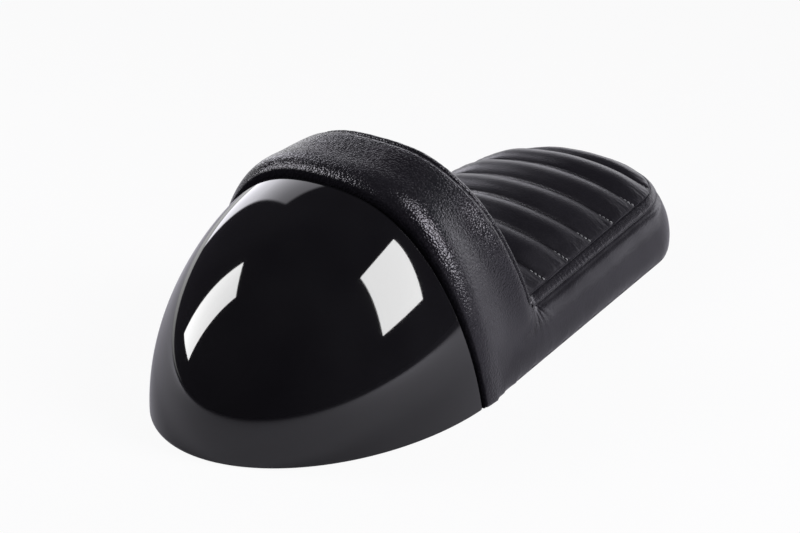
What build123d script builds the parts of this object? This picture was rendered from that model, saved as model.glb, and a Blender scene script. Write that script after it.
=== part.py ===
# Short solo motorcycle seat: upholstered pad with a bum stop, and a gloss tail cowl behind it.
# Millimetres, +X towards the nose, +Y to the rider's left, +Z up.
# The origin is on the ground plane, below the middle of the overall length.
from build123d import *
from math import atan, cos, pi, sin
import os

os.makedirs("parts", exist_ok=True)

# Driving dimensions: seat outline and side wall
seat_length = 371.0
seat_width = 250.0
nose_taper = 34.5
nose_width = seat_width - 2 * nose_taper
nose_radius = 78.0
seam_inset = 17.0
seam_height = 45.5
nose_rise = 8.5
wall_bulge_height = 12.0
foot_inset = 1.0
shoulder_height_share = 0.62
shoulder_inset_share = 0.25
tuck_height_share = 1.1
tuck_inset_share = 2.2
vinyl = 2.5
hem_width = 14.0

# Driving dimensions: cowl
cowl_length = 178.0
cowl_inset = 2.5
cowl_width = seat_width - 2 * cowl_inset
cowl_height = 163.0
cowl_wall = 3.0
cowl_gap = 1.2
joint_lean = 0.187
arch_rise = 1.85
arch_round = 2.56
spine_rise = 2.13
spine_round = 1.62
cowl_levels = (0, 0.2, 0.4, 0.58, 0.73, 0.85, 0.93, 0.975, 0.99)

# Driving dimensions: bum stop
lip_step = 3.0
lip_height = cowl_height
crest_rise = 5.5
crest_height = cowl_height + crest_rise
crest_x = 52.0
front_lean = 0.4
hump_crown = 8.0
hump_side_crown = 3.0
hump_rise = 2.07
hump_round = 3.1
hump_taper = 20.0
hump_front_width = seat_width - 2 * hump_taper
front_rise = 2.1
front_round = 2.7
ridge_round = 12.0
lip_round = 10.0
stop_margin = 16.0
stop_pad = 8.0
rear_wrap = 11.0

# Driving dimensions: ribbed panel
rib_pitch = 39.6
rib_count = 6
first_valley = 125.0
rear_rib = 60.0
rib_height = 6.0
pad_crown = 21.0
pad_height = seam_height + pad_crown
panel_lift = 1.2
nose_roll = 88.0
roll_power = 2.5
rib_flattening = 0.85
pad_stations = (-1.1, -0.75, -0.4, 0, 0.4, 0.75, 1.1)
panel_gap = 0.3
welt_width = 6.0
welt_lift = 0.8

# Driving dimensions: pan and hardware
pan_wall = 4.0
pan_level = 24.0
pan_clearance = 0.3
deck_width = 34.0
deck_clearance = 9.0
pan_rib = 3.0
pan_rib_depth = 9.0
stiffener_spacing = 45.0
stud_radius = 3.0
stud_shank_radius = 4.0
stud_shank_past_nut = 1.0
stud_reach = 20.0
stud_spacing_x = 180.0
stud_spacing_y = 130.0
stud_center_x = 200.0
stud_foot = 20.0
stud_foot_thick = 2.0
stud_bore_clearance = 0.2
stud_thread_clearance = 0.05
washer_thick = 1.6
stud_washer_radius = 9.0
nut_across_flats = 13.0
nut_height = 5.0
buffer_radius = 11.0
buffer_height = 12.0
buffer_plug_radius = 4.0
buffer_spacing_x = 70.0
buffer_edge_distance = 50.0
buffer_spacing_y = seat_width - 2 * buffer_edge_distance
boss_radius = 8.0
boss_height = 60.0
boss_wall_distance = 16.0
boss_turns = (25.0, 90.0, 155.0)
insert_radius = 3.6
insert_length = 12.0
screw_radius = 2.5
screw_length = 16.0
screw_head_radius = 4.75
screw_head_height = 3.0
screw_washer_radius = 7.0
screw_bore_clearance = 0.3

# The plane where cowl and seat meet leans to the rear, and so does the bum stop's front
joint_x = (cowl_length - seat_length) / 2
pan_top = pan_level + pan_wall
joint_plane = Plane((joint_x, 0, 0), x_dir=(0, 1, 0), z_dir=(1, 0, joint_lean))
front_foot_x = joint_x + crest_x + crest_height * front_lean
front_plane = Plane((front_foot_x, 0, 0), x_dir=(0, 1, 0), z_dir=(1, 0, front_lean))
mid_lean = (joint_lean + front_lean) / 2
mid_plane = Plane(((joint_x + front_foot_x) / 2, 0, 0), x_dir=(0, 1, 0), z_dir=(1, 0, mid_lean))


# Level plane at a height, with its own origin at the joint
def joint_level(height):
    return Plane((joint_x, 0, height))


# Height along a leaning plane of a point at the given height above the ground
def along(height, lean):
    return height / cos(atan(lean))


# Arch outline on a plane whose local y points up: a super-ellipse from foot to foot
def arch_face(plane, half, height, rise, rounding, steps=14):
    angles = [pi * i / steps for i in range(steps + 1)]
    points = []
    for angle in angles:
        side = half * abs(cos(angle)) ** (2 / rounding)
        points.append((side if angle < pi / 2 else -side, height * sin(angle) ** (2 / rise)))
    with BuildSketch(plane) as section:
        with BuildLine():
            Spline(*points, tangents=[(0, 1), (0, -1)])
            Line(points[-1], points[0])
        make_face()
    return section.sketch.face()


# Half egg of the cowl, as a loft of level ellipses
def cowl_dome(shrink):
    with BuildPart() as dome:
        for share in cowl_levels:
            reach = (cowl_length - shrink) * (1 - share**spine_rise) ** (1 / spine_round)
            half = (cowl_width / 2 - shrink) * (1 - share**arch_rise) ** (1 / arch_round)
            with BuildSketch(Plane((joint_x, 0, share * (cowl_height - shrink)))):
                Ellipse(reach, half)
        loft()
    return dome.part


# Outline of the seat from its joint forward, drawn in from its widest line and running back past the joint
def seat_outline(plane, inset):
    rear_x = -seat_width / 4
    nose_x = seat_length - inset
    rear_half = seat_width / 2 - inset
    nose_half = nose_width / 2 - inset
    with BuildSketch(plane) as outline:
        with BuildLine():
            Polyline((rear_x, -rear_half), (0, -rear_half), (nose_x, -nose_half),
                     (nose_x, nose_half), (0, rear_half), (rear_x, rear_half), close=True)
        make_face()
        fillet(outline.vertices().group_by(Axis.X)[-1], nose_radius - inset)
    return outline.sketch.face()


# Upholstered side wall of the seat: bulged low down, drawn in to the seam and on below the panel
def seat_walls(shrink):
    profile = (
        (0.0, foot_inset),
        (wall_bulge_height, 0.0),
        (shoulder_height_share * seam_height, shoulder_inset_share * seam_inset),
        (seam_height, seam_inset),
        (tuck_height_share * seam_height, tuck_inset_share * seam_inset),
    )
    levels = []
    for level, inset in profile:
        slope = nose_rise * level / seam_height / seat_length
        plane = Plane((joint_x, 0, level - shrink), x_dir=(1, 0, slope), z_dir=(-slope, 0, 1))
        levels.append(seat_outline(plane, inset + shrink))
    with BuildPart() as walls:
        loft(sections=levels)
        split(bisect_by=joint_plane.offset(shrink), keep=Keep.TOP)
    return walls.part


# Arch-shaped block of the bum stop, between the joint plane and its leaning front
def stop_block(shrink, rounded):
    lip_half = cowl_width / 2 + lip_step - shrink
    rear_height = along(lip_height - shrink, joint_lean)
    front_half = hump_front_width / 2 - shrink
    front_height = along(crest_height - shrink, front_lean)
    mid_half = (lip_half + front_half) / 2 + hump_side_crown
    mid_height = along((crest_height + lip_height) / 2 + hump_crown - shrink, mid_lean)
    rear = arch_face(joint_plane.offset(shrink), lip_half, rear_height, arch_rise, arch_round)
    middle = arch_face(mid_plane, mid_half, mid_height, hump_rise, hump_round)
    front = arch_face(front_plane.offset(-shrink), front_half, front_height, front_rise, front_round)
    with BuildPart() as block:
        loft(sections=[rear, middle, front])
        if rounded:
            front_face = block.faces().filter_by(front_plane).sort_by(Axis.X)[-1]
            fillet(front_face.edges().sort_by(SortBy.LENGTH)[-1], ridge_round - shrink)
            rear_face = block.faces().filter_by(joint_plane).sort_by(Axis.X)[0]
            fillet(rear_face.edges().sort_by(SortBy.LENGTH)[-1], lip_round - shrink)
    return block.part


# Whole upholstered form, drawn in all over by the given depth
def upholstery(shrink):
    with BuildPart() as form:
        add(seat_walls(shrink))
        add(stop_block(shrink, True))
        split(bisect_by=Plane.XY.offset(-shrink), keep=Keep.TOP)
    return form.part


# Upright prism over the area inside the seam, in front of the bum stop
def panel_prism(inset):
    with BuildPart() as prism:
        extrude(seat_outline(joint_level(pan_top), inset), amount=crest_height)
        split(bisect_by=front_plane, keep=Keep.TOP)
    return prism.part


# Height of the pad between its ribs: crowned across, flatter and rolled down at the nose
panel_front_x = joint_x + seat_length - seam_inset
panel_rear_half = seat_width / 2 - seam_inset
panel_nose_half = nose_width / 2 - seam_inset


def panel_half(x):
    return panel_rear_half + (panel_nose_half - panel_rear_half) * (x - joint_x) / seat_length


def pad_level(x, y):
    edge = seam_height + nose_rise * (x - joint_x) / seat_length + panel_lift
    roll = max(0.0, 1 - (panel_front_x - x) / nose_roll)
    crown = max(-1.0, 1 - (y / panel_half(x)) ** 2 - roll**roll_power)
    return edge + (pad_height - edge) * crown


# Lengthwise section of the pad at one distance from the middle: a row of round ribs
def pad_section(y):
    rear_x = joint_x + first_valley - rear_rib
    valleys = [joint_x + first_valley + rib_pitch * i for i in range(rib_count)]
    ends = [rear_x] + valleys + [panel_front_x + seam_inset / 2]
    points = [(x, pad_level(x, y)) for x in ends]
    with BuildSketch(Plane.XZ.offset(-y)) as section:
        with BuildLine():
            Line((rear_x, pan_top), points[0])
            for start, end in zip(points, points[1:]):
                mid_x = (start[0] + end[0]) / 2
                share = min(1.0, abs(y) / panel_half(mid_x))
                swell = rib_height * (1 - rib_flattening * share**4)
                ThreePointArc(start, (mid_x, (start[1] + end[1]) / 2 + swell), end)
            Polyline(points[-1], (ends[-1], pan_top), (rear_x, pan_top))
        make_face()
    return section.sketch.face()


with BuildPart() as pad_form:
    loft(sections=[pad_section(side * panel_rear_half) for side in pad_stations])

outer_form = upholstery(0.0)
inner_form = upholstery(vinyl)


# Face of the bum stop inside its sewn edge, a set distance behind the front
def stop_face(depth, margin):
    half = hump_front_width / 2 - margin
    return arch_face(front_plane.offset(-depth), half, along(crest_height, front_lean) - margin,
                     front_rise, front_round)


# Padded front of the bum stop
with BuildPart() as bumstop_panel:
    extrude(stop_face(stop_pad, stop_margin), amount=stop_pad)
    rim = bumstop_panel.faces().filter_by(front_plane).sort_by(Axis.X)[-1].edges()
    fillet(rim.sort_by(SortBy.LENGTH)[-1], stop_pad / 2)
    add(pad_form.part, mode=Mode.SUBTRACT)
    split(bisect_by=Plane.XY.offset(seam_height), keep=Keep.TOP)
bumstop_panel.part.label = "bumstop_panel"
export_step(bumstop_panel.part, "parts/bumstop_panel.step")

# Tuck-and-roll panel, which lies on the foam inside the seam
with BuildPart() as ribbed_panel:
    add(pad_form.part)
    add(panel_prism(seam_inset + panel_gap), mode=Mode.INTERSECT)
    add(inner_form, mode=Mode.SUBTRACT)
    split(bisect_by=front_plane.offset(panel_gap), keep=Keep.TOP)
ribbed_panel.part.label = "ribbed_panel"
export_step(ribbed_panel.part, "parts/ribbed_panel.step")

# Hem strip along the seam, a little proud of the side band
with BuildPart() as seam_welt:
    add(seat_walls(-welt_lift))
    add(panel_prism(seam_inset - welt_width), mode=Mode.INTERSECT)
    add(panel_prism(seam_inset), mode=Mode.SUBTRACT)
    add(inner_form, mode=Mode.SUBTRACT)
    split(bisect_by=front_plane.offset(panel_gap), keep=Keep.TOP)
seam_welt.part.label = "seam_welt"
export_step(seam_welt.part, "parts/seam_welt.step")

# Outer vinyl cover of flanks, nose and bum stop, turned under the pan's rim and round the rear lip
with BuildPart() as side_band:
    add(outer_form)
    add(inner_form, mode=Mode.SUBTRACT)
    add(panel_prism(seam_inset - welt_width), mode=Mode.SUBTRACT)
    extrude(stop_face(2 * stop_pad, stop_margin - panel_gap), amount=4 * stop_pad, mode=Mode.SUBTRACT)
    wrap_height = along(lip_height, joint_lean) - rear_wrap
    wrap_half = cowl_width / 2 + lip_step - rear_wrap
    opening = arch_face(joint_plane.offset(-vinyl), wrap_half, wrap_height, arch_rise, arch_round)
    extrude(opening, amount=3 * vinyl, mode=Mode.SUBTRACT)
    extrude(seat_outline(joint_level(0), foot_inset), amount=vinyl)
    extrude(seat_outline(joint_level(0), hem_width), amount=vinyl, mode=Mode.SUBTRACT)
    split(bisect_by=joint_plane, keep=Keep.TOP)
side_band.part.label = "side_band"
export_step(side_band.part, "parts/side_band.step")

# Positions of the studs, buffers and cowl bosses
stud_places = [(joint_x + stud_center_x + i * stud_spacing_x / 2, j * stud_spacing_y / 2)
               for i in (-1, 1) for j in (-1, 1)]
buffer_places = {
    "rear_right_buffer": (-1, -1),
    "rear_left_buffer": (-1, 1),
    "front_right_buffer": (1, -1),
    "front_left_buffer": (1, 1),
}
deck_share = pan_top / cowl_height
deck_reach = cowl_length * (1 - deck_share**spine_rise) ** (1 / spine_round) - cowl_wall
deck_half = cowl_width / 2 * (1 - deck_share**arch_rise) ** (1 / arch_round) - cowl_wall
boss_places = [(joint_x - (deck_reach - boss_wall_distance) * sin(turn * pi / 180),
                (deck_half - boss_wall_distance) * cos(turn * pi / 180)) for turn in boss_turns]

# Moulded pan: plate with a turned-down rim, the upright behind the bum stop, and the ring under the cowl
pan_skin = vinyl + pan_clearance
rim_inset = pan_skin + pan_wall + shoulder_inset_share * seam_inset
former_front = joint_plane.offset(pan_skin + pan_wall)
with BuildPart() as pan_former:
    add(upholstery(pan_skin))
    split(bisect_by=former_front, keep=Keep.BOTTOM)
    split(bisect_by=Plane.XY.offset(pan_level), keep=Keep.TOP)

with BuildPart() as base_pan:
    add(seat_walls(pan_skin))
    split(bisect_by=Plane.XY.offset(pan_top), keep=Keep.BOTTOM)
    split(bisect_by=Plane.XY.offset(vinyl), keep=Keep.TOP)
    extrude(seat_outline(joint_level(0), rim_inset), amount=pan_level, mode=Mode.SUBTRACT)
    add(pan_former.part)
    with BuildSketch(Plane((joint_x, 0, pan_level))) as deck:
        Ellipse(deck_reach - deck_clearance, deck_half - deck_clearance)
        Ellipse(deck_reach - deck_width, deck_half - deck_width, mode=Mode.SUBTRACT)
        split(bisect_by=Plane.YZ.offset(pan_skin), keep=Keep.BOTTOM)
    extrude(amount=pan_wall)
    with BuildSketch(Plane.XY.offset(pan_level)) as stiffeners:
        for side in (-1, 0, 1):
            with Locations((joint_x + seat_length / 2, side * stiffener_spacing)):
                Rectangle(seat_length - 2 * rim_inset, pan_rib)
        for side in (-1, 1):
            reach = stud_spacing_x / 2 - stud_foot
            with Locations((joint_x + stud_center_x + side * reach, 0)):
                Rectangle(pan_rib, nose_width - 2 * rim_inset)
    extrude(amount=-pan_rib_depth)
    with Locations(*[(x, y, pan_level) for x, y in stud_places]):
        Hole(stud_shank_radius + stud_bore_clearance)
    with Locations(*[(x, y, pan_level) for x, y in boss_places]):
        Hole(screw_radius + screw_bore_clearance)
    for along_x, along_y in buffer_places.values():
        place_x = joint_x + stud_center_x + along_x * buffer_spacing_x / 2
        with Locations((place_x, along_y * buffer_spacing_y / 2, pan_level)):
            Hole(buffer_plug_radius)
base_pan.part.label = "base_pan"
export_step(base_pan.part, "parts/base_pan.step")

# Stepped studs with a square foot on top of the plate, a shank for the nut and a free end for the frame
with BuildPart() as mount_studs:
    with BuildSketch(Plane.XY.offset(pan_top)):
        with Locations(*stud_places):
            Rectangle(stud_foot, stud_foot)
    extrude(amount=stud_foot_thick)
    with BuildSketch(Plane.XY.offset(pan_top)):
        with Locations(*stud_places):
            Circle(stud_shank_radius)
    extrude(amount=-(pan_wall + washer_thick + nut_height + stud_shank_past_nut))
    with BuildSketch(Plane.XY.offset(pan_top)):
        with Locations(*stud_places):
            Circle(stud_radius)
    extrude(amount=-(pan_wall + stud_reach))
mount_studs.part.label = "mount_studs"
export_step(mount_studs.part, "parts/mount_studs.step")

# Washers and nuts on the studs, below the plate
with BuildPart() as stud_washers:
    with BuildSketch(Plane.XY.offset(pan_level)):
        with Locations(*stud_places):
            Circle(stud_washer_radius)
            Circle(stud_shank_radius + stud_bore_clearance, mode=Mode.SUBTRACT)
    extrude(amount=-washer_thick)
stud_washers.part.label = "stud_washers"
export_step(stud_washers.part, "parts/stud_washers.step")

with BuildPart() as stud_nuts:
    with BuildSketch(Plane.XY.offset(pan_level - washer_thick)):
        with Locations(*stud_places):
            RegularPolygon(nut_across_flats / 2, 6, major_radius=False)
            Circle(stud_shank_radius + stud_thread_clearance, mode=Mode.SUBTRACT)
    extrude(amount=-nut_height)
stud_nuts.part.label = "stud_nuts"
export_step(stud_nuts.part, "parts/stud_nuts.step")

# Rubber buffers plugged into the plate
for name, (along_x, along_y) in buffer_places.items():
    place_x = joint_x + stud_center_x + along_x * buffer_spacing_x / 2
    place_y = along_y * buffer_spacing_y / 2
    with BuildPart() as buffer:
        with BuildSketch(Plane((place_x, place_y, pan_level))):
            Circle(buffer_radius)
        extrude(amount=-buffer_height)
        fillet(buffer.faces().sort_by(Axis.Z)[0].edges(), buffer_height / 6)
        with BuildSketch(Plane((place_x, place_y, pan_level))):
            Circle(buffer_plug_radius)
        extrude(amount=pan_wall)
    buffer.part.label = name
    export_step(buffer.part, f"parts/{name}.step")

# Foam of seat and bum stop, over the pan and behind the sewn panels
with BuildPart() as seat_foam:
    add(inner_form)
    split(bisect_by=Plane.XY.offset(pan_top), keep=Keep.TOP)
    split(bisect_by=former_front, keep=Keep.TOP)
    add(bumstop_panel.part, mode=Mode.SUBTRACT)
    with BuildSketch(Plane.XY.offset(pan_top)):
        with Locations(*stud_places):
            Rectangle(stud_foot, stud_foot)
    extrude(amount=stud_foot_thick, mode=Mode.SUBTRACT)
seat_foam.part.label = "seat_foam"
export_step(seat_foam.part, "parts/seat_foam.step")

# Gloss cowl: an even shell with three screw bosses run up into its wall
with BuildPart() as cowl_bosses:
    with BuildSketch(Plane.XY.offset(pan_top)):
        with Locations(*boss_places):
            Circle(boss_radius)
    extrude(amount=boss_height)
    add(cowl_dome(cowl_wall / 2), mode=Mode.INTERSECT)

with BuildPart() as cowl_shell:
    add(cowl_dome(0.0))
    add(cowl_dome(cowl_wall), mode=Mode.SUBTRACT)
    split(bisect_by=joint_plane.offset(-cowl_gap), keep=Keep.BOTTOM)
    add(cowl_bosses.part)
    with BuildSketch(Plane.XY.offset(pan_top)):
        with Locations(*boss_places):
            Circle(insert_radius)
    extrude(amount=insert_length, mode=Mode.SUBTRACT)
cowl_shell.part.label = "cowl_shell"
export_step(cowl_shell.part, "parts/cowl_shell.step")

# Brass inserts in the bosses, and the screws and washers that reach them from below
with BuildPart() as cowl_inserts:
    with BuildSketch(Plane.XY.offset(pan_top)):
        with Locations(*boss_places):
            Circle(insert_radius)
            Circle(screw_radius + stud_thread_clearance, mode=Mode.SUBTRACT)
    extrude(amount=insert_length)
cowl_inserts.part.label = "cowl_inserts"
export_step(cowl_inserts.part, "parts/cowl_inserts.step")

with BuildPart() as cowl_washers:
    with BuildSketch(Plane.XY.offset(pan_level)):
        with Locations(*boss_places):
            Circle(screw_washer_radius)
            Circle(screw_radius + screw_bore_clearance, mode=Mode.SUBTRACT)
    extrude(amount=-washer_thick)
cowl_washers.part.label = "cowl_washers"
export_step(cowl_washers.part, "parts/cowl_washers.step")

with BuildPart() as cowl_screws:
    with BuildSketch(Plane.XY.offset(pan_level - washer_thick)):
        with Locations(*boss_places):
            Circle(screw_head_radius)
    extrude(amount=-screw_head_height)
    with BuildSketch(Plane.XY.offset(pan_level - washer_thick)):
        with Locations(*boss_places):
            Circle(screw_radius)
    extrude(amount=screw_length)
cowl_screws.part.label = "cowl_screws"
export_step(cowl_screws.part, "parts/cowl_screws.step")
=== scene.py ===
# Solo motorcycle seat with a ribbed pad, a padded bum stop and a gloss tail cowl
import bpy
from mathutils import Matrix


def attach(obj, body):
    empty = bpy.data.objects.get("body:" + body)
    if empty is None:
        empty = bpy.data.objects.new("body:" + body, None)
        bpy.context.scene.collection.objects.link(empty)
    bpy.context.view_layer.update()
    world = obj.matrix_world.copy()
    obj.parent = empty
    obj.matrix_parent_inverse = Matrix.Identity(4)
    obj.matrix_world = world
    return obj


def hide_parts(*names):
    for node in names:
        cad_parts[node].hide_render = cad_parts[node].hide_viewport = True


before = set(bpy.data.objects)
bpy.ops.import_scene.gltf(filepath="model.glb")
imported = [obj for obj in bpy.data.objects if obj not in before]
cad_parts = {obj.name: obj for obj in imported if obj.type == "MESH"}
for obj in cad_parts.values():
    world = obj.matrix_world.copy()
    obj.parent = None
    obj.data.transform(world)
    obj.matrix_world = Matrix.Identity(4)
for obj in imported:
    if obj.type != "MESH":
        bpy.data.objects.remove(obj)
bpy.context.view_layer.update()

import math
import bpy
import numpy as np
from mathutils import Vector, bvhtree, kdtree, noise
import bmesh

MM = 0.001

# Sizes of the solids in millimetres, with x counted from the foot of the joint between cowl and seat
COWL_LENGTH, COWL_WIDTH, COWL_HEIGHT, COWL_WALL, COWL_GAP = 178.0, 245.0, 163.0, 3.0, 1.2
JOINT_LEAN, ARCH_RISE, ARCH_ROUND, SPINE_RISE, SPINE_ROUND = 0.187, 1.85, 2.56, 2.13, 1.62
SEAT_LENGTH, SEAT_WIDTH, NOSE_WIDTH, NOSE_RADIUS = 371.0, 250.0, 181.0, 78.0
SEAM_INSET, SEAM_HEIGHT, NOSE_RISE, BULGE_HEIGHT, FOOT_INSET = 17.0, 45.5, 8.5, 12.0, 1.0
LIP_STEP, LIP_HEIGHT, CREST_HEIGHT, CREST_X, FRONT_LEAN = 3.0, 163.0, 168.5, 52.0, 0.4
HUMP_CROWN, HUMP_SIDE, HUMP_RISE, HUMP_ROUND = 8.0, 3.0, 2.07, 3.1
FRONT_WIDTH, FRONT_RISE, FRONT_ROUND = 210.0, 2.1, 2.7
RIDGE_ROUND, STOP_MARGIN = 12.0, 16.0
RIB_PITCH, RIB_COUNT, FIRST_VALLEY, REAR_RIB = 39.6, 6, 125.0, 60.0
PAD_HEIGHT, PANEL_LIFT, NOSE_ROLL, ROLL_POWER = 66.5, 1.2, 88.0, 2.5
JOINT_X = (COWL_LENGTH - SEAT_LENGTH) / 2
FRONT_FOOT = CREST_X + CREST_HEIGHT * FRONT_LEAN
PANEL_FRONT = SEAT_LENGTH - SEAM_INSET
PAN_TOP = 28.0
COWL_EDGE = 0.6
COWL_BACK = COWL_GAP + COWL_EDGE / 2
BOSS_RADIUS, BOSS_HEIGHT, BOSS_WALL, BORE_RADIUS, BORE_DEPTH = 8.0, 60.0, 16.0, 3.6, 12.0
BOSS_TURNS = (25.0, 90.0, 155.0)

# Soft form of the cover: the lip beside the joint, the saddle and ridge of the bum stop, and the hems
WALL_LIP, COVER_VOXEL, COVER_CUT = 2.0, 2.4, 0.9
LIP_SWELL, LIP_GAP, LIP_EDGE, LIP_PILLOW, PILLOW_REACH = 3.2, 0.2, 2.0, 25.0, 14.0
TOP_REACH, FOOT_SWELL, FOOT_REACH, FOOT_GAP = 36.0, 1.4, 22.0, 0.2
SADDLE_DIP, SADDLE_PLACE, RIDGE_SWELL = 4.8, 44.0, 3.8
HUMP_DEPTH, RIDGE_STRETCH = 88.0, 1.27
RIDGE_REAR, RIDGE_FORE = 15.5, 8.0
HEM_OUTER, HEM_INNER, HEM_THICK = 11.0, 18.0, 2.4
RIB_SWELL, RIB_EDGE, LAST_VALLEY = 7.6, 24.0, SEAT_LENGTH - 8.0
STITCH_PITCH, STAPLE_PITCH, STAPLE_INSET = 3.9, 22.0, 7.5


# Mesh object from points in millimetres counted from the joint's foot
def make_piece(name, points, faces, material):
    mesh = bpy.data.meshes.new(name)
    placed = (np.asarray(points, float) + [JOINT_X, 0, 0]) * MM
    mesh.from_pydata([tuple(p) for p in placed], [], [tuple(f) for f in faces])
    mesh.validate()
    mesh.update()
    for polygon in mesh.polygons:
        polygon.use_smooth = True
    piece = bpy.data.objects.new(name, mesh)
    bpy.context.collection.objects.link(piece)
    mesh.materials.append(material)
    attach(piece, "root")
    return piece


# Quads of a grid of rows, with the columns or rows closed where asked
def grid_faces(rows, columns, close_columns=False, close_rows=False, start=0, flip=False):
    faces = []
    for i in range(rows if close_rows else rows - 1):
        for j in range(columns if close_columns else columns - 1):
            a = start + i * columns + j
            b = start + i * columns + (j + 1) % columns
            c = start + ((i + 1) % rows) * columns + (j + 1) % columns
            d = start + ((i + 1) % rows) * columns + j
            faces.append((d, c, b, a) if flip else (a, b, c, d))
    return faces


# Faces that close the two ends of a strip of rows
def end_faces(rows, columns, flip=False):
    first = [i * columns for i in range(rows)]
    last = [i * columns + columns - 1 for i in range(rows)]
    return [first[::-1], last] if flip else [first, last[::-1]]


# Length along a path at each of its points
def lengths_along(path):
    return np.concatenate([[0], np.cumsum(np.linalg.norm(np.diff(path, axis=0), axis=1))])


def smoothstep(low, high, value):
    share = np.clip((np.asarray(value, float) - low) / (high - low), 0, 1)
    return share * share * (3 - 2 * share)


# Smooth noise at many points, all of the same seedless field
def noise_at(points, scale, offset=0.0):
    shift = Vector((offset, 2.3 * offset, -1.7 * offset))
    return np.array([noise.noise(Vector(p) * scale + shift, noise_basis="PERLIN_NEW") for p in points])


# Middle, radius and slope of the rounded nose corner at an inset
def nose_corner(inset):
    nose_half = NOSE_WIDTH / 2 - inset
    radius = NOSE_RADIUS - inset
    slope = math.atan2((SEAT_WIDTH - NOSE_WIDTH) / 2, SEAT_LENGTH - inset)
    center_x = SEAT_LENGTH - inset - radius
    center_y = nose_half + (-radius + math.sin(slope) * radius) / math.cos(slope)
    return center_x, center_y, radius, slope


# Half width of the seat at x, drawn in by the inset, with the rounded nose
def seat_half(x, inset):
    x = np.asarray(x, float)
    center_x, center_y, radius, slope = nose_corner(inset)
    taper = (NOSE_WIDTH - SEAT_WIDTH) / 2 / (SEAT_LENGTH - inset)
    straight = SEAT_WIDTH / 2 - inset + taper * np.maximum(x, 0)
    bow = np.sqrt(np.maximum(radius**2 - (x - center_x) ** 2, 0))
    return np.where(x < center_x + radius * math.sin(slope), straight, center_y + bow)


# Points along the outline at an inset, from the right side of the joint round the nose to the left
def seat_path(inset, rear_x, side_steps=90, nose_steps=60):
    center_x, center_y, radius, slope = nose_corner(inset)
    tangent_x = center_x + radius * math.sin(slope)
    xs = np.linspace(rear_x, tangent_x, side_steps, endpoint=False)
    side = np.column_stack([xs, seat_half(xs, inset)])
    turns = np.linspace(math.pi / 2 - slope, 0, nose_steps)
    bow = np.column_stack([center_x + radius * np.cos(turns), center_y + radius * np.sin(turns)])
    front = np.column_stack([np.full(8, center_x + radius), np.linspace(center_y, 0, 9)[1:]])
    half = np.vstack([side, bow, front])
    return np.vstack([half * [1, -1], half[-2::-1]])


# Cubic curve through points
def through(points, count):
    points = np.asarray(points, float)
    padded = np.vstack([2 * points[0] - points[1], points, 2 * points[-1] - points[-2]])
    out = []
    spans = len(points) - 1
    for value in np.linspace(0, spans, count):
        i = min(int(value), spans - 1)
        t = value - i
        p0, p1, p2, p3 = padded[i:i + 4]
        out.append(0.5 * (2 * p1 + (p2 - p0) * t + (2 * p0 - 5 * p1 + 4 * p2 - p3) * t**2
                          + (3 * p1 - p0 - 3 * p2 + p3) * t**3))
    return np.array(out)


# Wall profile as inset and level, from the foot to the tuck below the panel
WALL = through([(FOOT_INSET, 0.0), (0.0, BULGE_HEIGHT), (0.25 * SEAM_INSET, 0.62 * SEAM_HEIGHT),
                (SEAM_INSET, SEAM_HEIGHT), (2.2 * SEAM_INSET, 1.1 * SEAM_HEIGHT)], 41)


def wall_level(inset, x):
    upper = WALL[10:]
    level = np.interp(inset, upper[:, 0], upper[:, 1])
    return level * (1 + NOSE_RISE / SEAM_HEIGHT * np.asarray(x, float) / SEAT_LENGTH)


# Arch of the bum stop at a share of the way from the joint to its front
def arch_points(half, height, rise, rounding, lean, foot, turns):
    side = half * np.sign(np.cos(turns)) * np.abs(np.cos(turns)) ** (2 / rounding)
    level = height * np.abs(np.sin(turns)) ** (2 / rise)
    return np.column_stack([foot - lean * level, side, level])


def hump_arch(share, shrink, turns):
    lip_half = COWL_WIDTH / 2 + LIP_STEP - shrink
    front_half = FRONT_WIDTH / 2 - shrink
    rear = arch_points(lip_half, LIP_HEIGHT - shrink, ARCH_RISE, ARCH_ROUND, JOINT_LEAN, 0.0, turns)
    front = arch_points(front_half, CREST_HEIGHT - shrink, FRONT_RISE, FRONT_ROUND, FRONT_LEAN, FRONT_FOOT,
                        turns)
    mid_half = (lip_half + front_half) / 2 + HUMP_SIDE
    mid_height = (CREST_HEIGHT + LIP_HEIGHT) / 2 + HUMP_CROWN - shrink
    middle = arch_points(mid_half, mid_height, HUMP_RISE, HUMP_ROUND, (JOINT_LEAN + FRONT_LEAN) / 2,
                         FRONT_FOOT / 2, turns)
    return (rear * (1 - share) * (1 - 2 * share) + middle * 4 * share * (1 - share)
            + front * share * (2 * share - 1))


# How far a rounded edge draws a section in, at a distance from the end plane
def edge_draw(distance, radius):
    away = np.clip(radius - distance, 0, radius)
    return radius - np.sqrt(np.maximum(radius**2 - away**2, 0))


# How far the padded lip is drawn in: swollen beside the joint, pillowed towards its edge, then turned under
def lip_draw(distance, depth, swell, reach):
    away = np.clip(PILLOW_REACH - distance, 0, PILLOW_REACH)
    pillow = LIP_PILLOW - np.sqrt(LIP_PILLOW**2 - away**2)
    swollen = swell * smoothstep(reach, 0.25 * reach, distance)
    return depth * pillow + edge_draw(distance, LIP_EDGE) - swollen


# Gap between the cowl and the lip, closed up towards the foot
def lip_gap(level):
    return FOOT_GAP + (LIP_GAP - FOOT_GAP) * smoothstep(10, 50, level)


# Distances of the sections from the joint plane, close together at the rounded edges
def hump_distances():
    lip = LIP_GAP + np.array([0, 0.2, 0.6, 1.2, 2.2, 3.5, 5.5, 8.0, 11.0, 14.5, 18.0, 22.0, 27.0, 32.0,
                              38.0])
    ridge = HUMP_DEPTH - RIDGE_STRETCH * np.array([RIDGE_ROUND, 9.5, 7.2, 5.2, 3.5, 2.1, 1.0, 0.3, 0])
    return np.concatenate([lip, np.linspace(lip[-1], ridge[0], 7)[1:-1], ridge])


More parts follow.
